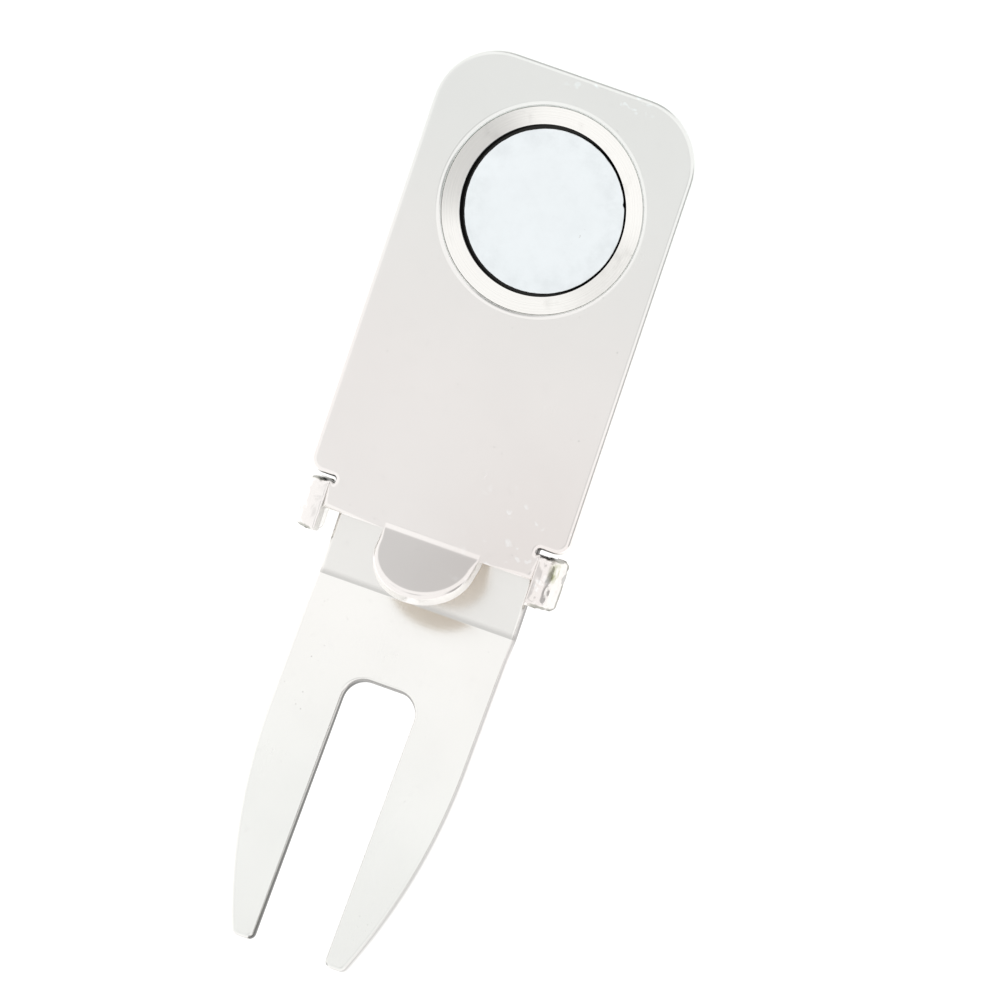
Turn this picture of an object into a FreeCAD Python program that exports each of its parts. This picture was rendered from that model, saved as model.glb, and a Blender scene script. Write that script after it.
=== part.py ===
import FreeCAD, Part
import math
import os

# Folding divot repair tool with a magnetic ball-marker seat.
# Millimetres. The origin is on the magnet's face, in the middle of the marker recess.
# X runs across the tool, Y along it towards the rounded end of the handle, Z out of the front face.

Vector = FreeCAD.Vector

# ---- handle plate -------------------------------------------------------------------------
sheet = 2.0                      # thickness of the handle's sheet
handle_half_width = 16.7
handle_length = 58.2
recess_from_top = 16.6           # recess centre below the rounded end
front_z = 0.45                   # front face above the magnet's face
plate_shift_x = -0.3             # the recess sits a little right of the plate's middle
rim_round = 0.6                  # rounding of the plate's long edges
top_corner_radius = 8.0
heel_corner_radius = 1.8         # corner between the long side and the relief notch
top_y = recess_from_top
edge_y = top_y - handle_length   # the plate's straight lower edge, over the hinge
back_z = front_z - sheet

# ---- ears, bent down at the two lower corners -----------------------------------------------
ear_outer_left = 16.6            # the left knuckle is pressed out a little further
ear_outer_right = 16.1
ear_inner_x = 14.0
ear_bend_inner = 0.4             # inside radius of the bend
ear_bend_outer = 2.3
ear_root_x = ear_inner_x - ear_bend_inner
ear_top_y = edge_y + 3.2
ear_low_y = edge_y - 3.0
ear_depth = 5.8                  # from the front face to the ear's lowest edge
ear_corner_radius = 1.4          # the knuckle's corners, seen from the front
ear_low_radius = 1.5             # and from the side
ear_lip_radius = 0.5             # along the lowest edges
notch_width = 0.6                # relief notch above each ear
notch_end_x = 13.1
heel_y = ear_top_y + notch_width

# ---- thumb tab, bent up from the lower edge ---------------------------------------------------
tab_centre_x = 0.65
tab_half_width = 6.15
tab_length = 7.7                 # from the lower edge to the tip, along the tab
tab_angle = 38.0
tab_bend_inner = 1.4
tab_relief_radius = 0.4          # round relief at each end of the bend
tab_edge_round = 0.7
tab_round_clear = 0.1            # the edge rounding starts this far beyond the tab's straight sides

# ---- marker seat: cup, adhesive, magnet -------------------------------------------------------
cup_radius = 12.3                # takes a 24 mm ball marker
cup_lip = 0.08                   # straight wall above the cone
hole_chamfer = 0.35              # bevel around the plate's hole
well_radius = 10.15
cone_low_z = -0.25
magnet_radius = 9.75
magnet_thickness = 1.0
magnet_round = 0.12
magnet_shift_x = 0.26            # the magnet sits a little off the well's centre
adhesive_thickness = 0.1
adhesive_inset = 0.3             # the adhesive stops short of the magnet's rim
cup_flange_radius = 13.4
cup_flange = 0.4                 # the flange bears on the plate's back

# ---- fork ---------------------------------------------------------------------------------------
fork_sheet = 1.8
fork_half_width = 12.6
fork_shift_x = plate_shift_x + 0.25    # the fork runs a little nearer the right ear
fork_gap = 1.65                  # between the plate's back and the fork's front face
axis_y = edge_y + 1.1
axis_z = back_z - fork_gap - fork_sheet / 2
root_reach = 1.5                 # from the axis to the root's end
crease_y = edge_y - 7.6
prong_angle = 7.0                # the prongs bend up from the crease
prong_reach = 43.7               # from the crease to the tips, along the prongs
slot_start = 10.3                # from the crease to the slot, along the prongs
slot_half_width = 4.65
slot_corner_radius = 2.7
taper_start = 16.5               # the outer sides curve in from here
tip_width = 2.5
tip_radius = 0.9
fork_edge_round = 0.45

# ---- pivot --------------------------------------------------------------------------------------
pin_radius = 0.6
pin_clearance = 0.04
pin_depth = 3.2                  # into the fork's edge
bore_extra = 0.3                 # the bore is a little deeper than its pin
washer_radius = 1.05
washer_end_play = 0.05

# ---- working values ------------------------------------------------------------------------------
edge_margin = 0.01               # for telling edges apart by their place
slot_overrun = 5.0               # the slot's cutter runs out past the tips


def rounded_wire(corners):
    """Closed flat wire through (x, y, radius) corners, with a tangent arc at each corner."""
    points = [Vector(x, y, 0) for x, y, _ in corners]
    edges = []
    starts = []
    ends = []
    middles = []
    for i, (_, _, radius) in enumerate(corners):
        here = points[i]
        back = (points[i - 1] - here).normalize()
        ahead = (points[(i + 1) % len(points)] - here).normalize()
        half = back.getAngle(ahead) / 2
        reach = radius / math.tan(half)
        bisector = (back + ahead).normalize()
        starts.append(here + back * reach)
        ends.append(here + ahead * reach)
        middles.append(here + bisector * (radius / math.sin(half) - radius))
    for i, (_, _, radius) in enumerate(corners):
        if radius > 0:
            edges.append(Part.Arc(starts[i], middles[i], ends[i]).toShape())
        following = starts[(i + 1) % len(points)]
        if (following - ends[i]).Length > 1e-6:
            edges.append(Part.LineSegment(ends[i], following).toShape())
    return Part.Wire(edges)


def slab(wire, top, thickness):
    """The flat wire's face, extruded down from the height top."""
    face = Part.Face(wire)
    face.translate(Vector(0, 0, top - thickness))
    return face.extrude(Vector(0, 0, thickness))


def level_edges(solid, heights):
    """Edges that lie flat at one of the given heights."""
    found = []
    for edge in solid.Edges:
        low = edge.BoundBox.ZMin
        high = edge.BoundBox.ZMax
        if any(abs(low - z) < 1e-4 and abs(high - z) < 1e-4 for z in heights):
            found.append(edge)
    return found


def turned(profile):
    """A solid of revolution about the Z axis, from (radius, z) points."""
    points = [Vector(r, 0, z) for r, z in profile]
    return Part.Face(Part.makePolygon(points + points[:1])).revolve(Vector(), Vector(0, 0, 1), 360)


def across(radius, x_from, x_to, y, z):
    """A cylinder along X."""
    return Part.makeCylinder(radius, x_to - x_from, Vector(x_from, y, z), Vector(1, 0, 0))


def bend(inner, outer, length, start_angle, sweep):
    """A piece of tube along X from 0 to length, about the X axis; angles run from +Y to +Z."""
    def at(radius, angle):
        turn = math.radians(angle)
        return Vector(0, radius * math.cos(turn), radius * math.sin(turn))
    stop = start_angle + sweep
    middle = start_angle + sweep / 2
    wire = Part.Wire([
        Part.LineSegment(at(inner, start_angle), at(outer, start_angle)).toShape(),
        Part.Arc(at(outer, start_angle), at(outer, middle), at(outer, stop)).toShape(),
        Part.LineSegment(at(outer, stop), at(inner, stop)).toShape(),
        Part.Arc(at(inner, stop), at(inner, middle), at(inner, start_angle)).toShape(),
    ])
    return Part.Face(wire).extrude(Vector(length, 0, 0))


def plate_blank():
    """The flat plate with its relief notches and rounded long edges."""
    notch_round = notch_width / 2 - edge_margin
    right = [
        (ear_root_x, edge_y, 0),
        (ear_root_x, ear_top_y, 0),
        (notch_end_x, ear_top_y, 0.1),
        (notch_end_x, heel_y, notch_round),
        (handle_half_width, heel_y, heel_corner_radius),
        (handle_half_width, top_y, top_corner_radius),
    ]
    left = [(-x, y, radius) for x, y, radius in reversed(right)]
    blank = slab(rounded_wire(right + left), front_z, sheet)
    return blank.makeFillet(rim_round, [
        edge for edge in level_edges(blank, (front_z, back_z))
        if edge.BoundBox.YMin > heel_y - edge_margin or edge.BoundBox.YMax < edge_y + edge_margin
    ])


def ear_outer(side):
    """X of the outer face of one ear."""
    return plate_shift_x + (ear_outer_right if side > 0 else -ear_outer_left)


def ear_inner(side):
    """X of the inner face of one ear."""
    return plate_shift_x + side * ear_inner_x


def ear(outer_x):
    """The right ear: a strip bent down, with rounded corners from the front and from the side."""
    low_z = front_z - ear_depth
    strip = Part.Face(rounded_wire([
        (ear_root_x, front_z, 0),
        (outer_x, front_z, ear_bend_outer),
        (outer_x, low_z, ear_lip_radius),
        (ear_inner_x, low_z, ear_lip_radius),
        (ear_inner_x, back_z, ear_bend_inner),
        (ear_root_x, back_z, 0),
    ])).extrude(Vector(0, 0, ear_top_y - ear_low_y))
    # Turn the profile's height from Y to Z; its length then runs down the tool from the ear's top.
    strip.rotate(Vector(), Vector(1, 0, 0), 90)
    strip.translate(Vector(0, ear_top_y, 0))
    from_front = slab(rounded_wire([
        (0, ear_low_y, 0),
        (outer_x, ear_low_y, ear_corner_radius),
        (outer_x, ear_top_y, ear_corner_radius),
        (0, ear_top_y, 0),
    ]), front_z, ear_depth)
    from_side = Part.Face(rounded_wire([
        (ear_low_y, low_z, ear_low_radius),
        (ear_top_y, low_z, ear_low_radius),
        (ear_top_y, front_z, 0),
        (ear_low_y, front_z, 0),
    ])).extrude(Vector(0, 0, outer_x))
    from_side.rotate(Vector(), Vector(1, 1, 1), 120)
    return strip.common(from_front).common(from_side)


def thumb_tab():
    """The round-ended tab: a bend of tab_angle, then a flat half-round leaf."""
    pivot_z = front_z + tab_bend_inner
    outer = tab_bend_inner + sheet
    start_y = edge_y + tab_bend_inner * math.sin(math.radians(tab_angle))
    curve = bend(tab_bend_inner, outer, 2 * tab_half_width, 270 - tab_angle, tab_angle)
    curve.translate(Vector(tab_centre_x - tab_half_width, start_y, pivot_z))
    straight = tab_length - tab_half_width
    leaf_wire = Part.Wire([
        Part.LineSegment(Vector(tab_half_width, 0, 0), Vector(-tab_half_width, 0, 0)).toShape(),
        Part.LineSegment(Vector(-tab_half_width, 0, 0), Vector(-tab_half_width, -straight, 0)).toShape(),
        Part.Arc(
            Vector(-tab_half_width, -straight, 0),
            Vector(0, -tab_length, 0),
            Vector(tab_half_width, -straight, 0),
        ).toShape(),
        Part.LineSegment(Vector(tab_half_width, -straight, 0), Vector(tab_half_width, 0, 0)).toShape(),
    ])
    leaf = slab(leaf_wire, -tab_bend_inner, sheet)
    leaf = leaf.makeFillet(tab_edge_round, [
        edge for edge in level_edges(leaf, (-tab_bend_inner, -outer))
        if edge.BoundBox.YMin < -straight - tab_round_clear
    ])
    leaf.rotate(Vector(), Vector(1, 0, 0), -tab_angle)
    leaf.translate(Vector(tab_centre_x, start_y, pivot_z))
    return curve.fuse(leaf)


def handle_plate():
    shape = plate_blank()
    shape = shape.fuse(ear(ear_outer_right))
    shape = shape.fuse(ear(ear_outer_left).mirror(Vector(), Vector(1, 0, 0)))
    shape = shape.fuse(thumb_tab())
    for side in (-1, 1):
        relief_x = tab_centre_x + side * tab_half_width
        relief = Part.makeCylinder(tab_relief_radius, 3 * sheet, Vector(relief_x, edge_y, back_z - sheet))
        shape = shape.cut(relief)
    shape = shape.removeSplitter()
    shape.translate(Vector(plate_shift_x, 0, 0))
    hole = Part.makeCylinder(cup_radius, 2 * sheet, Vector(0, 0, back_z - sheet / 2))
    funnel = turned([
        (0, front_z - hole_chamfer),
        (cup_radius, front_z - hole_chamfer),
        (cup_radius + hole_chamfer, front_z),
        (0, front_z),
    ])
    shape = shape.cut(hole).cut(funnel)
    for side in (-1, 1):
        inner, outer = sorted((ear_inner(side) - side, ear_outer(side) + side))
        shape = shape.cut(across(pin_radius, inner, outer, axis_y, axis_z))
    return shape


def magnet_cup():
    """Turned cup: a sloping ring down to the well, and a flange behind the plate."""
    floor_z = -magnet_thickness - adhesive_thickness
    flange_top = back_z
    bottom = back_z - cup_flange
    lip_z = front_z - hole_chamfer
    return turned([
        (0, bottom),
        (cup_flange_radius, bottom),
        (cup_flange_radius, flange_top),
        (cup_radius, flange_top),
        (cup_radius, lip_z - cup_lip),
        (well_radius, cone_low_z),
        (well_radius, floor_z),
        (0, floor_z),
    ])


def marker_magnet():
    disc = Part.makeCylinder(magnet_radius, magnet_thickness, Vector(magnet_shift_x, 0, -magnet_thickness))
    return disc.makeFillet(magnet_round, level_edges(disc, (0,)))


def magnet_adhesive():
    radius = magnet_radius - adhesive_inset
    low = -magnet_thickness - adhesive_thickness
    return Part.makeCylinder(radius, adhesive_thickness, Vector(magnet_shift_x, 0, low))


def prong_outline():
    """Half-width and distance corners of the outer side, as one arc from the straight side to the tip."""
    tip_outer = slot_half_width + tip_width
    run = prong_reach - taper_start
    drop = fork_half_width - tip_outer
    radius = (run * run + drop * drop) / (2 * drop)
    turn = math.asin(run / radius) / 2
    middle = (fork_half_width - radius + radius * math.cos(turn), taper_start + radius * math.sin(turn))
    return tip_outer, middle


def prongs():
    """The flat forked part, from the crease at Y = 0 to the tips at Y = -prong_reach, front face at Z = 0."""
    tip_outer, (middle_x, middle_d) = prong_outline()
    outer = Part.Wire([
        Part.LineSegment(Vector(-fork_half_width, 0, 0), Vector(-fork_half_width, -taper_start, 0)).toShape(),
        Part.Arc(
            Vector(-fork_half_width, -taper_start, 0),
            Vector(-middle_x, -middle_d, 0),
            Vector(-tip_outer, -prong_reach, 0),
        ).toShape(),
        Part.LineSegment(Vector(-tip_outer, -prong_reach, 0), Vector(tip_outer, -prong_reach, 0)).toShape(),
        Part.Arc(
            Vector(tip_outer, -prong_reach, 0),
            Vector(middle_x, -middle_d, 0),
            Vector(fork_half_width, -taper_start, 0),
        ).toShape(),
        Part.LineSegment(Vector(fork_half_width, -taper_start, 0), Vector(fork_half_width, 0, 0)).toShape(),
        Part.LineSegment(Vector(fork_half_width, 0, 0), Vector(-fork_half_width, 0, 0)).toShape(),
    ])
    blade = slab(outer, 0, fork_sheet)
    slot = slab(rounded_wire([
        (-slot_half_width, -prong_reach - slot_overrun, 0),
        (slot_half_width, -prong_reach - slot_overrun, 0),
        (slot_half_width, -slot_start, slot_corner_radius),
        (-slot_half_width, -slot_start, slot_corner_radius),
    ]), 1, fork_sheet + 2)
    blade = blade.cut(slot)
    tip_edges = [
        edge for edge in blade.Edges
        if edge.BoundBox.YMax < edge_margin - prong_reach and edge.BoundBox.ZLength > fork_sheet - edge_margin
    ]
    blade = blade.makeFillet(tip_radius, tip_edges)
    return blade.makeFillet(fork_edge_round, [
        edge for edge in level_edges(blade, (0, -fork_sheet)) if edge.BoundBox.YMin < -edge_margin
    ])


def fork_root():
    """The root strip: a round end above the axis, and a back that turns with the crease."""
    half = fork_sheet / 2
    round_y = axis_y + root_reach - half
    front = axis_z + half
    back = axis_z - half
    turn = math.radians(prong_angle)
    crease = Vector(0, crease_y, front)

    def behind_crease(angle):
        return crease + Vector(0, -math.sin(angle), -math.cos(angle)) * fork_sheet

    profile = Part.Wire([
        Part.LineSegment(crease, Vector(0, round_y, front)).toShape(),
        Part.Arc(
            Vector(0, round_y, front),
            Vector(0, round_y + half, axis_z),
            Vector(0, round_y, back),
        ).toShape(),
        Part.LineSegment(Vector(0, round_y, back), behind_crease(0)).toShape(),
        Part.Arc(behind_crease(0), behind_crease(turn / 2), behind_crease(turn)).toShape(),
        Part.LineSegment(behind_crease(turn), crease).toShape(),
    ])
    strip = Part.Face(profile).extrude(Vector(2 * fork_half_width, 0, 0))
    strip.translate(Vector(-fork_half_width, 0, 0))
    return strip


def fork():
    """Root strip with two blind pivot bores, a crease, then the two prongs."""
    blades = prongs()
    blades.rotate(Vector(), Vector(1, 0, 0), -prong_angle)
    blades.translate(Vector(0, crease_y, axis_z + fork_sheet / 2))
    shape = fork_root().fuse(blades)
    reach = pin_depth + bore_extra
    for side in (-1, 1):
        inner, outer = sorted((side * (fork_half_width - reach), side * (fork_half_width + 1)))
        shape = shape.cut(across(pin_radius + pin_clearance, inner, outer, axis_y, axis_z))
    shape = shape.removeSplitter()
    shape.translate(Vector(fork_shift_x, 0, 0))
    return shape


def fork_side(side):
    """X of the fork's edge beside one ear."""
    return fork_shift_x + side * fork_half_width


def pivot_pin(side):
    inner, outer = sorted((fork_side(side) - side * pin_depth, ear_outer(side)))
    return across(pin_radius, inner, outer, axis_y, axis_z)


def washer(side):
    inner, outer = sorted((fork_side(side) + side * washer_end_play, ear_inner(side)))
    ring = across(washer_radius, inner, outer, axis_y, axis_z)
    return ring.cut(across(pin_radius, inner - 1, outer + 1, axis_y, axis_z))


def main():
    os.makedirs("parts", exist_ok=True)
    nodes = {
        "handle_plate": handle_plate(),
        "magnet_cup": magnet_cup(),
        "marker_magnet": marker_magnet(),
        "magnet_adhesive": magnet_adhesive(),
        "fork": fork(),
        "pivot_pin_left": pivot_pin(-1),
        "pivot_pin_right": pivot_pin(1),
        "washer_left": washer(-1),
        "washer_right": washer(1),
    }
    for name, shape in nodes.items():
        box = shape.BoundBox
        print(
            f"{name:16s} valid={shape.isValid()} solids={len(shape.Solids)} volume={shape.Volume:8.2f}"
            f"  x {box.XMin:7.2f} {box.XMax:7.2f}  y {box.YMin:7.2f} {box.YMax:7.2f}"
            f"  z {box.ZMin:6.2f} {box.ZMax:6.2f}"
        )
        shape.exportStep(f"parts/{name}.step")


main()
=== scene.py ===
import math

import bmesh
import bpy
from mathutils import Matrix, Vector, noise


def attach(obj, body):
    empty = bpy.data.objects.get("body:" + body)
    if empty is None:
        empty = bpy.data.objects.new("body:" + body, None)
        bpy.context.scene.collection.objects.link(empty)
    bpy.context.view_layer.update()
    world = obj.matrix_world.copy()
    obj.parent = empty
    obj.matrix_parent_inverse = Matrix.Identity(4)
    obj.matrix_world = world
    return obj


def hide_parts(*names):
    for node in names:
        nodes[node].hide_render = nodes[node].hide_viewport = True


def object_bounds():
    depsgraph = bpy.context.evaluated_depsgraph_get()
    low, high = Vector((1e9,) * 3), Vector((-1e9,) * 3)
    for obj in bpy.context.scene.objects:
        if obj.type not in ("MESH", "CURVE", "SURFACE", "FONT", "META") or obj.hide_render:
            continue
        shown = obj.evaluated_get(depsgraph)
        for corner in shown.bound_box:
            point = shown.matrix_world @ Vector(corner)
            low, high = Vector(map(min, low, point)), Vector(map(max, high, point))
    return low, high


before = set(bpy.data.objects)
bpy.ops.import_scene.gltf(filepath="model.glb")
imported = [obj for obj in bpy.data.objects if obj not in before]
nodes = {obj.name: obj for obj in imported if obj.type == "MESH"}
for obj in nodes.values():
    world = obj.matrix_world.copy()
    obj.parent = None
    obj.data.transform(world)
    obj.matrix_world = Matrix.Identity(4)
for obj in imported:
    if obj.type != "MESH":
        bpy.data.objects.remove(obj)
cad_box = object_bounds()

MM = 0.001

# ---- handle plate, in millimetres; the origin is on the magnet's face ----------------------------
SHEET = 2.0
FRONT_Z = 0.45
PLATE_SHIFT_X = -0.3
HANDLE_HALF_WIDTH = 16.7
TOP_Y = 16.6
EDGE_Y = -41.6
RIM_ROUND = 0.6
TOP_RADIUS = 8.0
HEEL_RADIUS = 1.8
HOLE_RADIUS = 12.32
HOLE_CHAMFER = 0.35

# ---- ears ----------------------------------------------------------------------------------------
EAR_OUTER_LEFT = 16.6
EAR_OUTER_RIGHT = 16.1
EAR_INNER_X = 14.0
EAR_ROOT_X = 13.6
EAR_BEND_OUTER = 2.3
EAR_TOP_Y = EDGE_Y + 3.2
EAR_LOW_Y = EDGE_Y - 3.0
EAR_DEPTH = 5.8
EAR_LIP_RADIUS = 0.5
EAR_ROUND = 0.85             # softening of the ear's upper and lower ends
EAR_DENT = 0.18              # the deepest that the knuckle's dents can be
EAR_DENT_FREQUENCY = 1.25    # dents per millimetre, about
EAR_DENT_FADE = 0.8          # the dents grow from nothing over this distance from the plate
EAR_GRID = 0.30              # spacing of the knuckle's mesh
NOTCH_WIDTH = 0.6
NOTCH_CORNER = 0.05
NOTCH_END_X = 13.1
HEEL_Y = EAR_TOP_Y + NOTCH_WIDTH

# ---- thumb tab -----------------------------------------------------------------------------------
TAB_CENTRE_X = 0.65
TAB_HALF_WIDTH = 6.15
TAB_LENGTH = 7.7
TAB_ANGLE = 38.0
TAB_BEND = 1.4
TAB_ROUND = 0.7
TAB_BACK_ROUND = 0.25

# ---- marker seat ---------------------------------------------------------------------------------
CUP_RADIUS = 12.3
CUP_LIP = 0.08
CUP_FLANGE_RADIUS = 13.4
CUP_FLANGE = 0.4
CUP_FLANGE_EDGE = 0.05
CUP_RIM_EDGE = 0.03
WELL_EDGE = 0.06
WELL_RADIUS = 10.15
WELL_FLOOR_Z = -1.1
CONE_LOW_Z = -0.25
MAGNET_RADIUS = 9.75
MAGNET_THICKNESS = 1.0
MAGNET_ROUND = 0.12
MAGNET_SHIFT = Vector((0.26, 0.0, 0.0))
NICK_ANGLE = 23.0            # the nick in the magnet's rim, anticlockwise from +X
NICK_SPREAD = 1.6            # in degrees
NICK_DEPTH = 0.14            # into the rim
NICK_DROP = 0.08             # below the face
RAGGED_DEPTH = 0.04
RAGGED_DROP = 0.015
RAGGED_FREQUENCY = 9

# ---- fork ----------------------------------------------------------------------------------------
FORK_SHEET = 1.8
FORK_HALF_WIDTH = 12.6
FORK_SHIFT_X = PLATE_SHIFT_X + 0.25
AXIS_Y = EDGE_Y + 1.1
FORK_GAP = 1.65              # between the plate's back and the fork's front face
AXIS_Z = FRONT_Z - SHEET - FORK_GAP - FORK_SHEET / 2
ROOT_REACH = 1.5
CREASE_Y = EDGE_Y - 7.6
CREASE_BEND = 1.5
CREASE_LIFT_ANGLE = 8.0      # the sheet leaves the crease steeper than it runs on
CREASE_LIFT_RUN = 6.0
PRONG_ANGLE = 7.0
PRONG_REACH = 43.7
SLOT_START = 10.3
SLOT_HALF_WIDTH = 4.65
SLOT_CORNER_RADIUS = 2.7
TAPER_START = 16.5
TIP_WIDTH = 2.5
TIP_RADIUS = 0.9
FORK_ROUND = 0.45

# ---- camera: angles in degrees, distance in metres -----------------------------------------------
VIEW_RIGHT = 14.85           # the camera stands this far to the right of the front face's normal
VIEW_TOWARDS_HANDLE = 3.13   # and this far towards the rounded end
VIEW_ROLL = 18.62            # the tool leans to the right in the picture
VIEW_DISTANCE = 3.441
VIEW_LENS = 1050.8
VIEW_TARGET = Vector((6.37, -33.9, -0.2)) * MM

# ---- studio: a pale surround with soft grey zones that the metal reflects ------------------------
SURROUND = (1.0, 0.995, 0.985)
SURROUND_LEVEL = 1.04
# Each zone: direction, half-angles in degrees of its core and of its outer edge, share of light lost.
GREY_ZONES = [
    ((-0.2, 0.95, 0.25), 12.0, 30.0, 0.34),
    ((-0.18, -0.09, 0.98), 5.0, 12.5, 0.16),
    ((0.03, -0.14, 0.98), 6.0, 14.0, 0.27),
    ((-0.5, 0.08, 0.86), 3.0, 9.0, 0.14),
    ((1.0, -0.05, 0.15), 9.0, 26.0, 0.56),
    ((-0.1, 1.0, 0.0), 8.0, 18.0, 0.60),
]
FLOOR_DEPTH = 62 * MM        # clear of the fork's swing
FLOOR_HALF = 1.5             # half of its side, in metres
FLOOR_TONE = 0.9
FLOOR_ROUGHNESS = 0.9
FLOOR_GLOW = 0.25

# ---- meshing, in millimetres and degrees ---------------------------------------------------------
SNAP = 0.01                  # slack where points are placed or compared
MERGE = 0.0005               # points nearer than this become one
CUT_TOLERANCE = 1e-5         # a point this near to a cutting plane counts as on it
RIM_STEPS = 6                # in the quarter turn of a rounded edge
CURVE_STEPS = 40             # along the tab's and the fork's curves
LIFT_STEPS = 12              # along the extra lift at the fork's crease
HOLE_SEGMENTS = 240
CUP_SEGMENTS = 256
MAGNET_SEGMENTS = 720
SHARP_ANGLE = 30             # turned pieces are smooth across edges flatter than this

# ---- share of the tone lost where shade or a reflection is painted -------------------------------
SLOT_WALL_SHADE_LOSS = 0.93
SLOT_END_SHADE_LOSS = 0.55
EDGE_SHADE_LOSS = 0.45
# painted shade on the fork's deeper walls, strongest between the ears under the plate
ROOT_WALL_SHADE_LOSS = 0.75        # the fork's walls between the ears
PRONG_WALL_SHADE_LOSS = 0.22       # and along the prongs
CREASE_SHADE_LOSS = 0.24
BACK_SHADE_LOSS = 0.22
NOTCH_SHADE_LOSS = 0.72
EAR_EDGE_SHADE_LOSS = 0.52
EAR_REFLECTION_LOSS = 0.70
WELL_SHADE_LOSS = 0.97
MAGNET_SIDE_SHADE_LOSS = 0.93
TIP_TONE = 0.93              # not a loss: the tone that is left at the prongs' tips


# ================================ node helpers =====================================================

class Graph:
    """A material's or world's node tree, with short calls for the nodes used here."""

    def __init__(self, tree):
        self.tree = tree

    def put(self, kind, settings=None, **inputs):
        node = self.tree.nodes.new(kind)
        for key, value in (settings or {}).items():
            setattr(node, key, value)
        for key, value in inputs.items():
            self.feed(node.inputs[key.replace("_", " ")], value)
        return node

    def feed(self, socket, value):
        if isinstance(value, bpy.types.NodeSocket):
            self.tree.links.new(value, socket)
        else:
            socket.default_value = value

    def math(self, operation, first, second=0.0):
        node = self.put("ShaderNodeMath", {"operation": operation})
        self.feed(node.inputs[0], first)
        self.feed(node.inputs[1], second)
        return node.outputs[0]

    def remap(self, value, low, high, to_low=0.0, to_high=1.0, smooth=True):
        kind = "SMOOTHSTEP" if smooth else "LINEAR"
        node = self.put("ShaderNodeMapRange", {"interpolation_type": kind})
        for socket, number in zip(node.inputs[:5], (value, low, high, to_low, to_high)):
            self.feed(socket, number)
        return node.outputs[0]

    def mix(self, factor, first, second):
        node = self.put("ShaderNodeMix", {"data_type": "RGBA"})
        self.feed(node.inputs["Factor"], factor)
        self.feed(node.inputs[6], first)
        self.feed(node.inputs[7], second)
        return node.outputs[2]

    def noise(self, vector, scale, detail=2.0, roughness=0.5):
        node = self.put(
            "ShaderNodeTexNoise", Vector=vector, Scale=scale, Detail=detail, Roughness=roughness
        )
        return node.outputs["Fac"]

    def product(self, *values):
        result = values[0]
        for value in values[1:]:
            result = self.math("MULTIPLY", result, value)
        return result

    def less(self, share, mask):
        """1 where the mask is 0, falling by share where it is 1."""
        return self.math("SUBTRACT", 1.0, self.math("MULTIPLY", mask, share))

    def distance(self, value, centre):
        """How far the value is from the centre, either way."""
        return self.math("ABSOLUTE", self.math("SUBTRACT", value, centre))

    def radius(self, x, y):
        squares = self.math("ADD", self.math("MULTIPLY", x, x), self.math("MULTIPLY", y, y))
        return self.math("SQRT", squares)

    def axes(self, vector):
        node = self.put("ShaderNodeSeparateXYZ", Vector=vector)
        return node.outputs["X"], node.outputs["Y"], node.outputs["Z"]

    def tint(self, colour, shade):
        node = self.put("ShaderNodeMix", {"data_type": "RGBA", "blend_type": "MULTIPLY"})
        self.feed(node.inputs["Factor"], 1.0)
        self.feed(node.inputs[6], colour)
        self.feed(node.inputs[7], shade)
        return node.outputs[2]

    def stretched(self, vector, scale, turn=0.0):
        rotation = (0, 0, math.radians(turn))
        node = self.put("ShaderNodeMapping", Vector=vector, Rotation=rotation, Scale=scale)
        return node.outputs["Vector"]


def new_material(name):
    material = bpy.data.materials.new(name)
    material.use_nodes = True
    graph = Graph(material.node_tree)
    shader = material.node_tree.nodes["Principled BSDF"]
    return material, graph, shader


def rgb(red, green, blue):
    return (red, green, blue, 1.0)


# ================================ materials =======================================================

WHITE = rgb(1, 1, 1)
# tint of the painted reflection on the right ear, also given to the darkest painted shade
OLIVE = rgb(0.62, 0.72, 0.20)        # the tint of the darkest marks
SHEARED = rgb(1.0, 0.99, 0.97)
ROOT_TINT = rgb(0.990, 0.970, 0.970)
TOP_REFLECTION_TINT = rgb(0.940, 0.985, 0.985)
LOW_RIGHT_REFLECTION_TINT = rgb(0.955, 0.935, 0.930)
BACK_SHADE_TINT = rgb(1.0, 0.95, 0.87)
SPECK = rgb(0.42, 0.40, 0.38)


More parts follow.
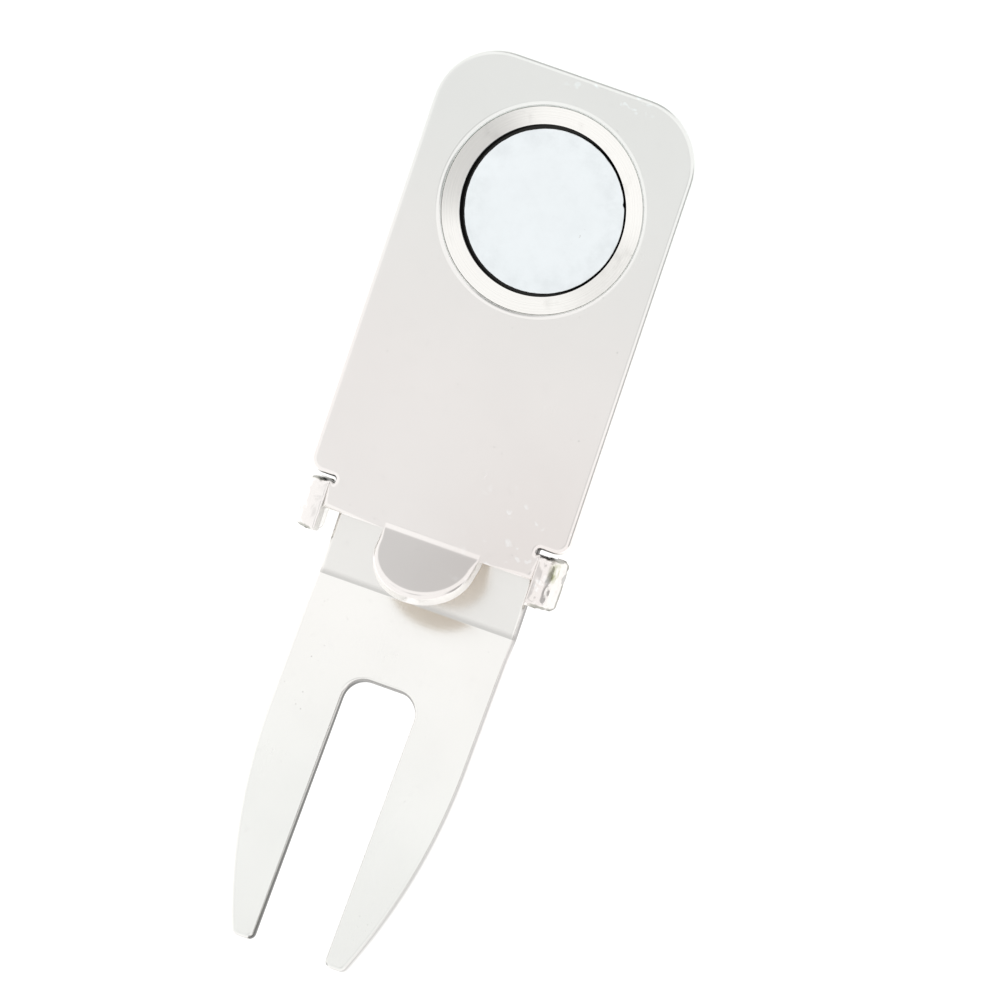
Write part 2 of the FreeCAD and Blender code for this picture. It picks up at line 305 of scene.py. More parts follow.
def fork_shade(g, place, normal):
    """Painted shade in the slot, on the deeper walls, below the edges and above the crease; a slow
    change to the tips.
    """
    x, y, z = g.axes(place)
    _, along, up = g.axes(normal)
    wall = g.remap(g.math("ABSOLUTE", up), 0.80, 0.40)
    from_middle = g.distance(x, FORK_SHIFT_X * MM)
    in_slot = g.remap(from_middle, (SLOT_HALF_WIDTH + 0.6) * MM, (SLOT_HALF_WIDTH + 0.4) * MM)
    rise = math.tan(math.radians(PRONG_ANGLE))
    beyond = g.math("MAXIMUM", g.math("SUBTRACT", CREASE_Y * MM, y), 0.0)
    front = g.math("ADD", g.math("MULTIPLY", beyond, rise), (AXIS_Z + FORK_SHEET / 2) * MM)
    depth = g.math("SUBTRACT", front, z)
    deep = g.remap(depth, 0.40 * MM, 0.75 * MM)
    # painted shade on the deeper walls, strongest between the ears
    wall_shade_loss = g.remap(y, (CREASE_Y - 3) * MM, (CREASE_Y + 2) * MM, PRONG_WALL_SHADE_LOSS, ROOT_WALL_SHADE_LOSS)
    # painted shade: a soft dark line just above the crease
    above = g.remap(y, (CREASE_Y + 0.9) * MM, (CREASE_Y + 0.1) * MM)
    below = g.remap(y, (CREASE_Y - 0.05) * MM, (CREASE_Y + 0.05) * MM)
    # painted shade: the slot's walls below the rounding darkened, over the sheared walls' own duller
    # tone
    slot_shear_and_shade = g.product(wall, in_slot, g.remap(depth, 0.12 * MM, 0.35 * MM))
    # painted shade: a dark line just below the rounding of every edge
    edge_shade_line = g.product(
        g.remap(g.math("ABSOLUTE", up), 0.62, 0.38),
        g.remap(depth, (FORK_ROUND + 0.20) * MM, (FORK_ROUND + 0.05) * MM),
    )
    # painted shade on the slot's closed end
    slot_end_shade = g.product(g.remap(along, -0.15, -0.50), in_slot)
    grey = g.product(
        g.less(SLOT_WALL_SHADE_LOSS, slot_shear_and_shade),
        g.less(EDGE_SHADE_LOSS, edge_shade_line),
        g.less(SLOT_END_SHADE_LOSS, slot_end_shade),
        g.less(wall_shade_loss, g.product(wall, deep)),
        g.less(CREASE_SHADE_LOSS, g.product(above, below)),
        g.remap(y, (CREASE_Y - PRONG_REACH) * MM, (CREASE_Y - 5) * MM, TIP_TONE, 1.0),
    )
    warmer = g.remap(y, (CREASE_Y - 30) * MM, CREASE_Y * MM)
    # the slot's painted shade also takes a little of the olive tint
    hue = g.mix(g.math("MULTIPLY", slot_shear_and_shade, 0.25), WHITE, OLIVE)
    hue = g.tint(hue, g.mix(warmer, WHITE, ROOT_TINT))
    return g.tint(hue, grey)


def plate_shade(g, place, normal):
    """Painted shade on the back, the notch walls and the ears' edges; a painted reflection on the right
    ear.
    """
    x, y, z = g.axes(place)
    left_right, along, up = g.axes(normal)
    # painted shade: the back is darker and yellower
    back = g.remap(up, -0.2, -0.6)
    wall = g.remap(g.math("ABSOLUTE", up), 0.80, 0.35)
    sideways = g.math("SUBTRACT", x, PLATE_SHIFT_X * MM)
    from_middle = g.math("ABSOLUTE", sideways)
    # painted shade on the notch walls
    by_notch = g.product(
        g.remap(from_middle, (NOTCH_END_X - 0.7) * MM, (NOTCH_END_X - 0.5) * MM),
        g.remap(from_middle, (HANDLE_HALF_WIDTH - 0.9) * MM, (HANDLE_HALF_WIDTH - 1.9) * MM),
        g.remap(g.distance(y, (HEEL_Y - NOTCH_WIDTH / 2) * MM), 0.75 * MM, 0.65 * MM),
    )
    on_ear = g.product(
        g.remap(from_middle, (EAR_ROOT_X + 0.2) * MM, (EAR_ROOT_X + 0.9) * MM),
        g.remap(y, (EAR_TOP_Y + 0.1) * MM, (EAR_TOP_Y - 0.1) * MM),
    )
    # painted shade on the ears' end walls and lowest edge
    end_wall = g.remap(g.math("ABSOLUTE", along), 0.5, 0.8)
    lowest = g.remap(z, (FRONT_Z - EAR_DEPTH + 1.3) * MM, (FRONT_Z - EAR_DEPTH + 0.9) * MM)
    ear_edge_shade = g.product(on_ear, g.math("MAXIMUM", end_wall, lowest))
    # painted reflection: an olive patch on the right ear's outer wall
    ear_reflection = g.product(
        g.remap(sideways, (EAR_ROOT_X + 1.3) * MM, (EAR_ROOT_X + 2.5) * MM),
        g.remap(g.distance(y, (EAR_TOP_Y - 1.6) * MM), 1.5 * MM, 0.2 * MM),
        g.remap(z, (FRONT_Z - 3.2) * MM, (FRONT_Z - 2.0) * MM),
        g.remap(left_right, 0.98, 0.85),
        g.remap(g.noise(place, 900, 3.0, 0.6), 0.30, 0.62, 0.35, 1.0),
    )
    # painted reflection tints: the top cooler, the lower right redder
    cooler = g.remap(y, (EDGE_Y + 15) * MM, (TOP_Y - 5) * MM)
    redder = g.product(g.remap(y, -20 * MM, EDGE_Y * MM), g.remap(x, -5 * MM, 12 * MM))
    grey = g.product(
        g.less(BACK_SHADE_LOSS, back),
        g.less(NOTCH_SHADE_LOSS, g.product(wall, by_notch)),
        g.less(EAR_EDGE_SHADE_LOSS, ear_edge_shade),
        g.less(EAR_REFLECTION_LOSS, ear_reflection),
    )
    hue = g.mix(cooler, WHITE, TOP_REFLECTION_TINT)
    hue = g.tint(hue, g.mix(redder, WHITE, LOW_RIGHT_REFLECTION_TINT))
    hue = g.tint(hue, g.mix(back, WHITE, BACK_SHADE_TINT))
    olive_share = g.math("MAXIMUM", g.math("MULTIPLY", ear_edge_shade, 0.12), ear_reflection)
    hue = g.tint(hue, g.mix(olive_share, WHITE, OLIVE))
    return g.tint(hue, grey)


def scuffs(g, place):
    """Small bright marks by the right ear and along the top edge."""
    x, y, _ = g.axes(place)
    by_ear = g.product(
        g.remap(x, 2 * MM, 9 * MM),
        g.remap(y, (EDGE_Y + 12) * MM, (EDGE_Y + 6) * MM),
    )
    by_top = g.product(g.remap(y, (TOP_Y - 3.0) * MM, (TOP_Y - 1.5) * MM), g.remap(x, -4 * MM, 1 * MM))
    where = g.math("MAXIMUM", by_ear, by_top)
    bent = g.put("ShaderNodeVectorMath", {"operation": "ADD"})
    g.feed(bent.inputs[0], place)
    wander = g.put("ShaderNodeTexNoise", Vector=place, Scale=700.0, Detail=2.0)
    shrunk = g.put("ShaderNodeVectorMath", {"operation": "SCALE"}, Scale=0.0020)
    g.feed(shrunk.inputs[0], wander.outputs["Color"])
    g.feed(bent.inputs[1], shrunk.outputs[0])
    smeared = g.stretched(bent.outputs[0], (560, 900, 700), 35)
    cells = g.put("ShaderNodeTexVoronoi", {"feature": "F1"}, Vector=smeared, Scale=1.0)
    spots = g.remap(cells.outputs["Distance"], 0.34, 0.14)
    chosen = g.remap(g.noise(place, 420, 2.0, 0.5), 0.46, 0.54)
    return g.product(where, spots, chosen)


def even_shade(g, place, normal):
    """A slow change of tone over the whole piece."""
    return g.remap(g.noise(place, 30, 2.0, 0.5), 0.3, 0.7, 0.985, 1.0)


def ring_shade(g, place, normal):
    """Turned steel: fine rings, a few broad streaks, and a well made black by painted shade."""
    x, y, z = g.axes(place)
    radius = g.radius(x, y)
    field = g.put("ShaderNodeCombineXYZ", X=g.math("MULTIPLY", radius, 9000.0)).outputs[0]
    rings = g.remap(g.noise(field, 1.0, 3.0, 0.6), 0.3, 0.7, 0.90, 1.0)
    streaks = g.remap(g.noise(place, 260, 3.0, 0.6), 0.55, 0.75, 1.0, 0.90)
    # painted shade: the well round the magnet darkened nearly to black
    well = g.remap(z, (CONE_LOW_Z - 0.03) * MM, (CONE_LOW_Z - 0.12) * MM)
    inside = g.remap(radius, (WELL_RADIUS + 0.05) * MM, (WELL_RADIUS + 0.02) * MM)
    return g.product(rings, streaks, g.less(WELL_SHADE_LOSS, g.product(well, inside)))


def magnet_shade(g, place, normal):
    """Bright plating with faint mottling; the sides, down in the well, are darkened by painted shade.
    """
    x, y, z = g.axes(place)
    # painted shade: the magnet's sides darkened nearly to black
    sides = g.remap(z, -(MAGNET_ROUND + 0.02) * MM, -2 * MAGNET_ROUND * MM)
    radius = g.radius(x, y)
    near_rim = g.remap(radius, (MAGNET_RADIUS - 3.5) * MM, (MAGNET_RADIUS - 0.8) * MM, 0.35, 1.0)
    mottle = g.remap(g.noise(place, 330, 4.0, 0.65), 0.35, 0.72, 0.0, 0.08)
    clouds = g.remap(g.noise(place, 90, 2.0, 0.5), 0.35, 0.65, 0.97, 1.0)
    return g.product(g.less(1.0, g.product(mottle, near_rim)), clouds, g.less(MAGNET_SIDE_SHADE_LOSS, sides))


def satin_steel(
    name, face, wall, face_rough, wall_rough, shade=even_shade, scuffed=0.0, rim=(0.62, 0.22)
):
    """Steel with a bright fine-grained face, walls of their own tone, a few scratches and specks.
    rim gives how far a surface still faces up where its wall tone starts and where it is whole."""
    material, g, shader = new_material(name)
    coords = g.put("ShaderNodeTexCoord")
    place = coords.outputs["Object"]
    normal = coords.outputs["Normal"]
    upright = g.math("ABSOLUTE", g.axes(normal)[2])
    is_wall = g.remap(upright, *rim)

    grain = g.noise(g.stretched(place, (9000, 900, 9000)), 1.0, 3.0, 0.6)
    mottle = g.noise(place, 900, 4.0, 0.6)
    cloud = g.noise(place, 45, 3.0, 0.55)

    scratch_field = g.stretched(place, (2600, 90, 900), 33)
    scratch_cells = g.put(
        "ShaderNodeTexVoronoi", {"feature": "DISTANCE_TO_EDGE"}, Vector=scratch_field, Scale=1.0
    )
    scratch_line = g.remap(scratch_cells.outputs["Distance"], 0.018, 0.004)
    scratch_where = g.remap(g.noise(place, 120, 2.0, 0.5), 0.62, 0.74)
    scratches = g.math("MULTIPLY", scratch_line, scratch_where)

    speck_cells = g.put("ShaderNodeTexVoronoi", {"feature": "F1"}, Vector=place, Scale=1500.0)
    speck_spot = g.remap(speck_cells.outputs["Distance"], 0.20, 0.08)
    speck_where = g.remap(g.noise(place, 260, 2.0, 0.5), 0.63, 0.70)
    specks = g.math("MULTIPLY", speck_spot, speck_where)

    tone = g.remap(cloud, 0.3, 0.7, 0.0, 1.0)
    soft = tuple(0.965 * c for c in face[:3]) + (1.0,)
    face_colour = g.mix(tone, face, soft)
    fine = tuple(0.94 * c for c in face[:3]) + (1.0,)
    face_colour = g.mix(g.remap(mottle, 0.56, 0.80, 0.0, 0.6), face_colour, fine)
    face_colour = g.mix(g.math("MULTIPLY", specks, 0.35), face_colour, SPECK)
    face_colour = g.mix(g.math("MULTIPLY", scuffs(g, place), scuffed), face_colour, WHITE)
    colour = g.mix(is_wall, face_colour, wall)
    g.feed(shader.inputs["Base Color"], g.tint(colour, shade(g, place, normal)))
    shader.inputs["Metallic"].default_value = 1.0

    rough = g.remap(grain, 0.25, 0.75, face_rough - 0.03, face_rough + 0.04, smooth=False)
    rough = g.math("ADD", rough, g.math("MULTIPLY", scratches, 0.18))
    rough = g.math("ADD", rough, g.remap(cloud, 0.35, 0.7, -0.015, 0.025))
    rough = g.math("MAXIMUM", rough, g.math("MULTIPLY", is_wall, wall_rough))
    g.feed(shader.inputs["Roughness"], rough)

    height = g.math("MULTIPLY", grain, 0.5)
    height = g.math("SUBTRACT", height, g.math("MULTIPLY", scratches, 1.2))
    height = g.math("SUBTRACT", height, g.math("MULTIPLY", specks, 0.8))
    bump = g.put("ShaderNodeBump", Height=height, Strength=0.10, Distance=0.00002)
    g.feed(shader.inputs["Normal"], bump.outputs["Normal"])
    return material


PLATE_STEEL = satin_steel(
    "plate_steel", rgb(0.935, 0.905, 0.890), SHEARED, 0.16, 0.42,
    plate_shade, scuffed=0.9, rim=(0.77, 0.45),
)
FORK_STEEL = satin_steel(
    "fork_steel", rgb(0.940, 0.950, 0.930), SHEARED, 0.22, 0.25,
    fork_shade, rim=(0.93, 0.70),
)
CUP_STEEL = satin_steel(
    "cup_steel", rgb(0.995, 0.985, 0.960), rgb(0.60, 0.59, 0.57), 0.10, 0.30, ring_shade
)
MAGNET = satin_steel(
    "magnet_plating", rgb(0.925, 0.972, 1.0), rgb(0.40, 0.41, 0.43), 0.45, 0.45, magnet_shade
)
PIN_STEEL = satin_steel("pin_steel", rgb(0.70, 0.69, 0.67), rgb(0.55, 0.54, 0.53), 0.25, 0.30)
WASHER_STEEL = satin_steel("washer_steel", rgb(0.55, 0.54, 0.53), rgb(0.40, 0.39, 0.38), 0.3, 0.35)

FINISHES = {
    "handle_plate": PLATE_STEEL, "fork": FORK_STEEL, "magnet_cup": CUP_STEEL, "marker_magnet": MAGNET,
    "magnet_adhesive": WASHER_STEEL, "pivot_pin_left": PIN_STEEL, "pivot_pin_right": PIN_STEEL,
    "washer_left": WASHER_STEEL, "washer_right": WASHER_STEEL,
}
for name, material in FINISHES.items():
    nodes[name].data.materials.clear()
    nodes[name].data.materials.append(material)


# ================================ shapes ==========================================================

def rounded(corners, steps=10):
    """Points of a closed outline through (x, y, radius) corners, with an arc at each rounded corner."""
    points = []
    for i, (x, y, radius) in enumerate(corners):
        here = Vector((x, y))
        if radius == 0:
            points.append(here)
            continue
        back = (Vector(corners[i - 1][:2]) - here).normalized()
        ahead = (Vector(corners[(i + 1) % len(corners)][:2]) - here).normalized()
        half = back.angle(ahead) / 2
        centre = here + (back + ahead).normalized() * (radius / math.sin(half))
        first = here + back * (radius / math.tan(half)) - centre
        last = here + ahead * (radius / math.tan(half)) - centre
        sweep = first.angle_signed(last)
        for step in range(steps + 1):
            points.append(centre + Matrix.Rotation(-sweep * step / steps, 2) @ first)
    return points


def arc(centre, radius, start, stop, steps):
    """Points from angle start to angle stop, in degrees."""
    turns = [math.radians(start + (stop - start) * i / steps) for i in range(steps + 1)]
    return [Vector((centre[0] + radius * math.cos(t), centre[1] + radius * math.sin(t))) for t in turns]


def quarter_turn():
    return [math.pi / 2 * i / RIM_STEPS for i in range(RIM_STEPS + 1)]


def rim_profile(front_radius, back_radius, thickness):
    """(inset, height) pairs from the front face, round the rim, to the back face."""
    turns = quarter_turn()
    front = [(front_radius * (1 - math.sin(t)), -front_radius * (1 - math.cos(t))) for t in turns]
    back = [
        (back_radius * (1 - math.sin(t)), back_radius * (1 - math.cos(t)) - thickness) for t in turns
    ]
    return front + back[::-1]


def insets(points):
    """For each point of a loop, the move that takes both of its sides one unit into the metal."""
    found = []
    for i, here in enumerate(points):
        before = (here - points[i - 1]).normalized()
        after = (points[(i + 1) % len(points)] - here).normalized()
        left_before = Vector((-before.y, before.x))
        left_after = Vector((-after.y, after.x))
        found.append((left_before + left_after) / (1 + left_before.dot(left_after)))
    return found


def solid_sheet(loops, thickness, rim, sharp=None, back_rim=None):
    """A sheet with its front face at height 0. The first loop runs anticlockwise, holes clockwise.
    sharp(point) is true where the rim keeps a square edge."""
    bm = bmesh.new()
    profile = rim_profile(rim, rim if back_rim is None else back_rim, thickness)
    ends = ([], [])
    for points in loops:
        inward = insets(points)
        rings = []
        for inset, height in profile:
            ring = []
            for point, move in zip(points, inward):
                square = sharp is not None and sharp(point)
                spot = point if square else point + move * inset
                level = height
                if square:
                    level = 0 if height > -thickness / 2 else -thickness
                ring.append(bm.verts.new((spot.x, spot.y, level)))
            rings.append(ring)
        for upper, lower in zip(rings, rings[1:]):
            for i in range(len(points)):
                j = (i + 1) % len(points)
                bm.faces.new((upper[i], lower[i], lower[j], upper[j])).smooth = True
        for end, ring in zip(ends, (rings[0], rings[-1])):
            end.extend(bm.edges.get((ring[i - 1], ring[i])) for i in range(len(ring)))
    for end in ends:
        bmesh.ops.triangle_fill(bm, use_beauty=True, edges=end)
    bmesh.ops.remove_doubles(bm, verts=bm.verts, dist=MERGE)
    return bm


def bend_up(bm, line_y, radius, angle, steps):
    """Bends the sheet towards its front beyond line_y, round an inner radius, by angle degrees."""
    turn = math.radians(angle)
    run = radius * turn
    cut_across(bm, (0, 1, 0), [(0, line_y - run * step / steps, 0) for step in range(steps + 1)])
    for vert in bm.verts:
        along = line_y - vert.co.y
        if along <= 0:
            continue
        swing = min(along / radius, turn)
        beyond = max(along - run, 0)
        arm = radius - vert.co.z
        vert.co.y = line_y - arm * math.sin(swing) - beyond * math.cos(swing)
        vert.co.z = radius - arm * math.cos(swing) + beyond * math.sin(swing)


def cut_across(bm, normal, places):
    """Adds mesh lines where planes with this normal pass through the places."""
    for place in places:
        everything = bm.verts[:] + bm.edges[:] + bm.faces[:]
        bmesh.ops.bisect_plane(
            bm, geom=everything, dist=CUT_TOLERANCE, plane_co=place, plane_no=normal
        )


def lathe(profile, segments, wobble=None):
    """A closed turned solid from (radius, height) points, first and last on the axis."""
    bm = bmesh.new()
    first = bm.verts.new((0, 0, profile[0][1]))
    last = bm.verts.new((0, 0, profile[-1][1]))
    rings = []
    for radius, height in profile[1:-1]:
        ring = []
        for i in range(segments):
            turn = math.tau * i / segments
            r, z = (radius, height) if wobble is None else wobble(radius, height, turn)
            ring.append(bm.verts.new((r * math.cos(turn), r * math.sin(turn), z)))
        rings.append(ring)
    for i in range(segments):
        j = (i + 1) % segments
        bm.faces.new((first, rings[0][i], rings[0][j]))
        bm.faces.new((last, rings[-1][j], rings[-1][i]))
        for inner, outer in zip(rings, rings[1:]):
            bm.faces.new((inner[i], outer[i], outer[j], inner[j]))
    return bm


def add_piece(name, parts, material, body, node, smooth_angle=None):
    """Joins the parts, in millimetres, into one mesh that stands for a CAD node."""
    vertices = []
    faces = []
    smooth = []
    for bm in parts:
        bmesh.ops.recalc_face_normals(bm, faces=bm.faces)
        bm.verts.index_update()
        start = len(vertices)
        vertices.extend(vert.co * MM for vert in bm.verts)
        for face in bm.faces:
            faces.append([start + vert.index for vert in face.verts])
            smooth.append(face.smooth)
        bm.free()
    mesh = bpy.data.meshes.new(name)
    mesh.from_pydata(vertices, [], faces)
    mesh.polygons.foreach_set("use_smooth", smooth)
    mesh.materials.append(material)
    obj = bpy.data.objects.new(name, mesh)
    bpy.context.scene.collection.objects.link(obj)
    if smooth_angle is not None:
        mesh.shade_smooth()
        mesh.set_sharp_from_angle(angle=math.radians(smooth_angle))
    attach(obj, body)
    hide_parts(node)


# ================================ handle plate ====================================================

def plate_blank():
    """The flat plate with its relief notches and the hole for the marker seat."""
    right = [
        (EAR_ROOT_X, EDGE_Y, 0),
        (EAR_ROOT_X, EAR_TOP_Y, 0),
        (NOTCH_END_X, EAR_TOP_Y, NOTCH_CORNER),
        (NOTCH_END_X, HEEL_Y, NOTCH_WIDTH / 2 - SNAP),
        (HANDLE_HALF_WIDTH, HEEL_Y, HEEL_RADIUS),
        (HANDLE_HALF_WIDTH, TOP_Y, TOP_RADIUS),
    ]
    left = [(-x, y, radius) for x, y, radius in reversed(right)]
    tab_right = (TAB_CENTRE_X + TAB_HALF_WIDTH, EDGE_Y, 0)
    tab_left = (TAB_CENTRE_X - TAB_HALF_WIDTH, EDGE_Y, 0)
    corners = [tab_right] + right + left + [tab_left]
    outline = [point + Vector((PLATE_SHIFT_X, 0)) for point in rounded(corners, steps=14)]
    hole = list(reversed(arc((0, 0), HOLE_RADIUS, 0, 360, HOLE_SEGMENTS)[:-1]))

    def joins_a_bend(point):
        x = point.x - PLATE_SHIFT_X
        under_tab = abs(x - TAB_CENTRE_X) < TAB_HALF_WIDTH + SNAP and point.y < EDGE_Y + SNAP
        beside_ear = abs(x) > EAR_ROOT_X - SNAP and EDGE_Y + SNAP < point.y < EAR_TOP_Y + SNAP
        return under_tab or beside_ear

    bm = solid_sheet([outline, hole], SHEET, RIM_ROUND, joins_a_bend)
    bmesh.ops.translate(bm, verts=bm.verts, vec=(0, 0, FRONT_Z))
    return bm


def thumb_tab():
    """The half-round tab, bent up from the plate's lower edge."""
    straight = TAB_LENGTH - TAB_HALF_WIDTH
    run = TAB_BEND * math.radians(TAB_ANGLE)
    leaf = arc((0, -run - straight), TAB_HALF_WIDTH, 180, 360, CURVE_STEPS)
    outline = leaf + [Vector((TAB_HALF_WIDTH, 0)), Vector((-TAB_HALF_WIDTH, 0))]
    bm = solid_sheet([outline], SHEET, TAB_ROUND, lambda point: point.y > -SNAP, TAB_BACK_ROUND)
    bend_up(bm, 0, TAB_BEND, TAB_ANGLE, steps=8)
    start_y = EDGE_Y + TAB_BEND * math.sin(math.radians(TAB_ANGLE))
    bmesh.ops.translate(bm, verts=bm.verts, vec=(TAB_CENTRE_X + PLATE_SHIFT_X, start_y, FRONT_Z))
    return bm


def ear(side, outer_x):
    """A strip bent down at one lower corner, softly rounded like a knuckle."""
    low_z = FRONT_Z - EAR_DEPTH
    back_z = FRONT_Z - SHEET
    outline = rounded([
        (EAR_ROOT_X, FRONT_Z, 0),
        (EAR_ROOT_X, back_z, 0),
        (EAR_INNER_X, back_z, EAR_INNER_X - EAR_ROOT_X),
        (EAR_INNER_X, low_z, EAR_LIP_RADIUS),
        (outer_x, low_z, EAR_LIP_RADIUS),
        (outer_x, FRONT_Z, EAR_BEND_OUTER),
    ])
    width = EAR_TOP_Y - EAR_LOW_Y
    bm = solid_sheet([outline], width, EAR_ROUND, lambda point: point.x < EAR_ROOT_X + SNAP)
    longest = max(outer_x - EAR_ROOT_X, EAR_DEPTH, width)
    grid = [EAR_GRID * i for i in range(math.ceil(longest / EAR_GRID) + 1)]
    cut_across(bm, (1, 0, 0), [(EAR_ROOT_X + step, 0, 0) for step in grid])
    cut_across(bm, (0, 1, 0), [(0, low_z + step, 0) for step in grid])
    cut_across(bm, (0, 0, 1), [(0, 0, -step) for step in grid])
    bm.normal_update()
    for vert in bm.verts:
        fade = min(max((vert.co.x - EAR_ROOT_X) / EAR_DENT_FADE, 0), 1)
        dent = abs(noise.noise(vert.co * EAR_DENT_FREQUENCY + Vector((side * 7, 0, 0))))
        vert.co -= vert.normal * dent * EAR_DENT * fade
    for vert in bm.verts:
        across, height, down = vert.co
        vert.co = (side * across + PLATE_SHIFT_X, EAR_TOP_Y + down, height)
    for face in bm.faces:
        face.smooth = True
    return bm


def handle_plate():
    parts = [plate_blank(), thumb_tab(), ear(1, EAR_OUTER_RIGHT), ear(-1, EAR_OUTER_LEFT)]
    add_piece("handle_plate_detail", parts, PLATE_STEEL, "handle", "handle_plate")


# ================================ marker seat =====================================================

def cup_profile():
    """Flange, outer wall, lip, sloping ring and well, from the axis behind to the axis in front."""
    back_z = FRONT_Z - SHEET
    cone_high = FRONT_Z - HOLE_CHAMFER - CUP_LIP
    return [
        (0, back_z - CUP_FLANGE),
        (CUP_FLANGE_RADIUS - CUP_FLANGE_EDGE, back_z - CUP_FLANGE),
        (CUP_FLANGE_RADIUS, back_z - CUP_FLANGE + CUP_FLANGE_EDGE),
        (CUP_FLANGE_RADIUS, back_z),
        (CUP_RADIUS, back_z),
        (CUP_RADIUS, cone_high - CUP_RIM_EDGE),
        (CUP_RADIUS - CUP_RIM_EDGE, cone_high),
        (WELL_RADIUS + WELL_EDGE, CONE_LOW_Z),
        (WELL_RADIUS, CONE_LOW_Z - WELL_EDGE),
        (WELL_RADIUS, WELL_FLOOR_Z),
        (0, WELL_FLOOR_Z),
    ]


def magnet_wobble(radius, height, turn):
    """The plated rim is a little ragged, with one nick."""
    if radius < MAGNET_RADIUS - 2 * MAGNET_ROUND or height < -2 * MAGNET_ROUND:
        return radius, height
    ragged = abs(noise.noise(Vector((math.cos(turn), math.sin(turn), radius)) * RAGGED_FREQUENCY))
    nick = math.exp(-((turn - math.radians(NICK_ANGLE)) / math.radians(NICK_SPREAD)) ** 2)
    return (
        radius - RAGGED_DEPTH * ragged - NICK_DEPTH * nick,
        height - RAGGED_DROP * ragged - NICK_DROP * nick,
    )


def magnet_profile():
    """The disc with its upper edge rounded, from the axis behind to the axis in front."""
    centre = MAGNET_RADIUS - MAGNET_ROUND
    rim = [
        (centre + MAGNET_ROUND * math.cos(t), MAGNET_ROUND * (math.sin(t) - 1)) for t in quarter_turn()
    ]
    inner = [(MAGNET_RADIUS - 4 * MAGNET_ROUND, 0), (MAGNET_RADIUS / 2, 0), (0, 0)]
    return [(0, -MAGNET_THICKNESS), (MAGNET_RADIUS, -MAGNET_THICKNESS)] + rim + inner


def marker_seat():
    cup = lathe(cup_profile(), CUP_SEGMENTS)
    add_piece("magnet_cup_detail", [cup], CUP_STEEL, "handle", "magnet_cup", SHARP_ANGLE)
    disc = lathe(magnet_profile(), MAGNET_SEGMENTS, magnet_wobble)
    bmesh.ops.translate(disc, verts=disc.verts, vec=MAGNET_SHIFT)
    add_piece(
        "marker_magnet_detail", [disc], MAGNET, "handle", "marker_magnet", SHARP_ANGLE
    )


# ================================ fork ============================================================

def fork_outline():
    """Anticlockwise, in the flat, before the crease: distances from the crease run to -Y."""
    tip_outer = SLOT_HALF_WIDTH + TIP_WIDTH
    run = PRONG_REACH - TAPER_START
    drop = FORK_HALF_WIDTH - tip_outer
    radius = (run * run + drop * drop) / (2 * drop)
    sweep = math.degrees(math.asin(run / radius))
    side = arc((FORK_HALF_WIDTH - radius, -TAPER_START), radius, 0, -sweep, CURVE_STEPS)
    tip = rounded([
        (side[-2].x, side[-2].y, 0),
        (tip_outer, -PRONG_REACH, TIP_RADIUS),
        (SLOT_HALF_WIDTH, -PRONG_REACH, TIP_RADIUS),
        (SLOT_HALF_WIDTH, -SLOT_START, SLOT_CORNER_RADIUS),
        (0, -SLOT_START, 0),
    ], steps=12)[1:-1]
    root_y = AXIS_Y + ROOT_REACH - CREASE_Y
    clear_of_tip = [point for point in side[:-1] if point.y > tip[0].y]
    right = [Vector((FORK_HALF_WIDTH, root_y))] + clear_of_tip + tip
    left = [Vector((-point.x, point.y)) for point in reversed(right)]
    return list(reversed(right + left))


def fork():
    bm = solid_sheet([fork_outline()], FORK_SHEET, FORK_ROUND)
    lines = [-CREASE_LIFT_RUN * step / LIFT_STEPS for step in range(LIFT_STEPS + 1)]
    cut_across(bm, (0, 1, 0), [(0, y, 0) for y in lines])
    steepness = math.tan(math.radians(CREASE_LIFT_ANGLE))
    for vert in bm.verts:
        along = max(-vert.co.y, 0)
        eased = min(along, CREASE_LIFT_RUN)
        lift = steepness * eased * (1 - eased / (2 * CREASE_LIFT_RUN))
        vert.co.z += lift - steepness * CREASE_LIFT_RUN / 2 * along / PRONG_REACH
    half = math.radians(PRONG_ANGLE) / 2
    bend_up(bm, CREASE_BEND * math.tan(half), CREASE_BEND, PRONG_ANGLE, steps=4)
    front_z = AXIS_Z + FORK_SHEET / 2
    bmesh.ops.translate(bm, verts=bm.verts, vec=(FORK_SHIFT_X, CREASE_Y, front_z))
    add_piece("fork_detail", [bm], FORK_STEEL, "fork", "fork")


# ================================ studio ==========================================================

def zone(g, direction, towards, core, edge):
    """1 inside a soft round zone of the surround, 0 outside it."""
    aim = g.put("ShaderNodeCombineXYZ", X=towards[0], Y=towards[1], Z=towards[2])
    unit = g.put("ShaderNodeVectorMath", {"operation": "NORMALIZE"})
    g.feed(unit.inputs[0], aim.outputs[0])
    dot = g.put("ShaderNodeVectorMath", {"operation": "DOT_PRODUCT"})
    g.feed(dot.inputs[0], direction)
    g.feed(dot.inputs[1], unit.outputs[0])
    return g.remap(dot.outputs["Value"], math.cos(math.radians(edge)), math.cos(math.radians(core)))


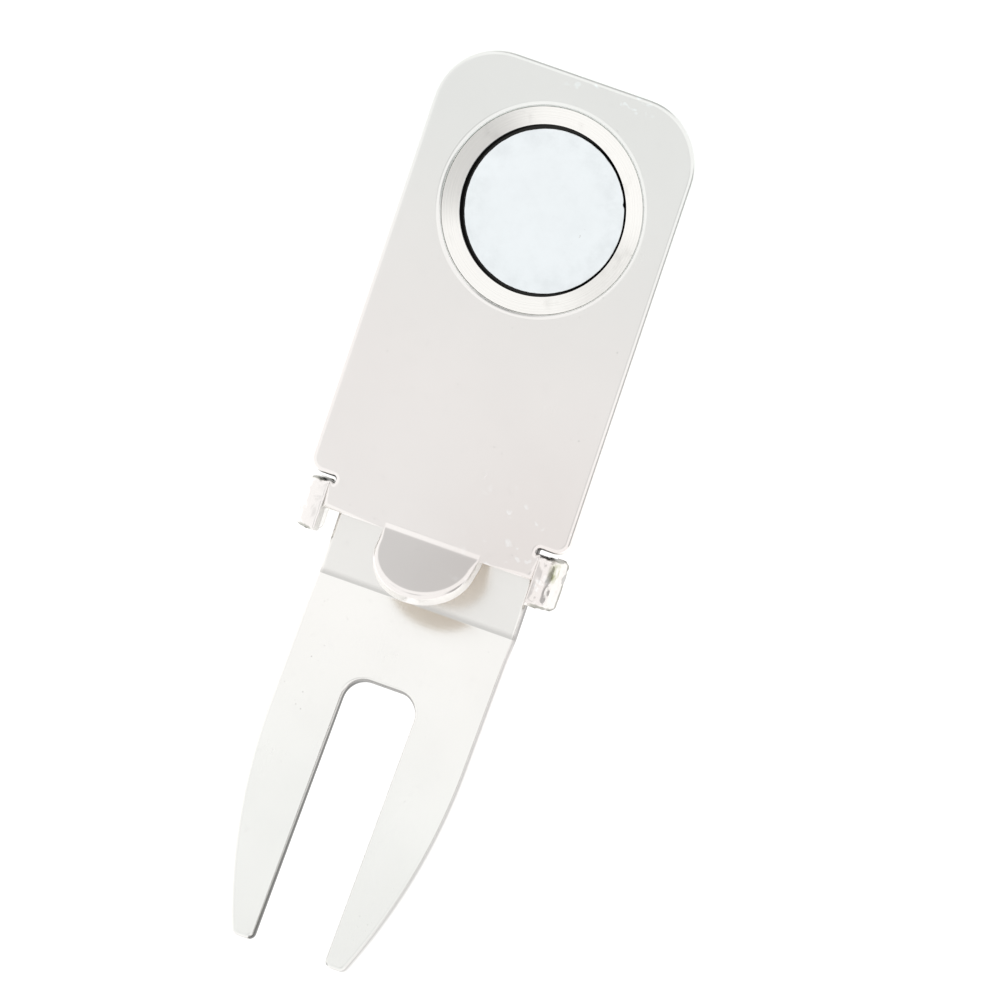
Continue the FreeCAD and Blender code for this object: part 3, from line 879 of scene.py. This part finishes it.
def surround():
    world = bpy.data.worlds.new("studio")
    world.use_nodes = True
    g = Graph(world.node_tree)
    background = world.node_tree.nodes["Background"]
    direction = g.put("ShaderNodeTexCoord").outputs["Generated"]
    level = SURROUND_LEVEL
    for towards, core, edge, share in GREY_ZONES:
        level = g.math("MULTIPLY", level, g.less(share, zone(g, direction, towards, core, edge)))
    background.inputs["Color"].default_value = (*SURROUND, 1.0)
    g.feed(background.inputs["Strength"], level)
    bpy.context.scene.world = world


def floor():
    low = cad_box[0][2] - FLOOR_DEPTH
    mesh = bpy.data.meshes.new("floor")
    corners = [(x * FLOOR_HALF, y * FLOOR_HALF, low) for x, y in ((-1, -1), (1, -1), (1, 1), (-1, 1))]
    mesh.from_pydata(corners, [], [(0, 1, 2, 3)])
    obj = bpy.data.objects.new("floor", mesh)
    bpy.context.scene.collection.objects.link(obj)
    material, _, shader = new_material("floor")
    shader.inputs["Base Color"].default_value = rgb(FLOOR_TONE, FLOOR_TONE, FLOOR_TONE)
    shader.inputs["Roughness"].default_value = FLOOR_ROUGHNESS
    shader.inputs["Emission Color"].default_value = WHITE
    shader.inputs["Emission Strength"].default_value = FLOOR_GLOW
    mesh.materials.append(material)


def camera():
    right = math.radians(VIEW_RIGHT)
    lift = math.radians(VIEW_TOWARDS_HANDLE)
    level = math.cos(lift)
    towards_camera = Vector((math.sin(right) * level, math.sin(lift), math.cos(right) * level))
    data = bpy.data.cameras.new("camera")
    data.lens = VIEW_LENS
    data.clip_end = 100
    obj = bpy.data.objects.new("camera", data)
    bpy.context.scene.collection.objects.link(obj)
    upright = Vector((0, 1, 0))
    level_up = (upright - towards_camera * upright.dot(towards_camera)).normalized()
    up = Matrix.Rotation(math.radians(VIEW_ROLL), 3, towards_camera) @ level_up
    side = up.cross(towards_camera)
    rotation = Matrix((side, up, towards_camera)).transposed()
    stand = VIEW_TARGET + towards_camera * VIEW_DISTANCE
    obj.matrix_world = Matrix.Translation(stand) @ rotation.to_4x4()
    bpy.context.scene.camera = obj


handle_plate()
marker_seat()
fork()
surround()
floor()
camera()
bpy.context.scene.view_settings.view_transform = "Standard"
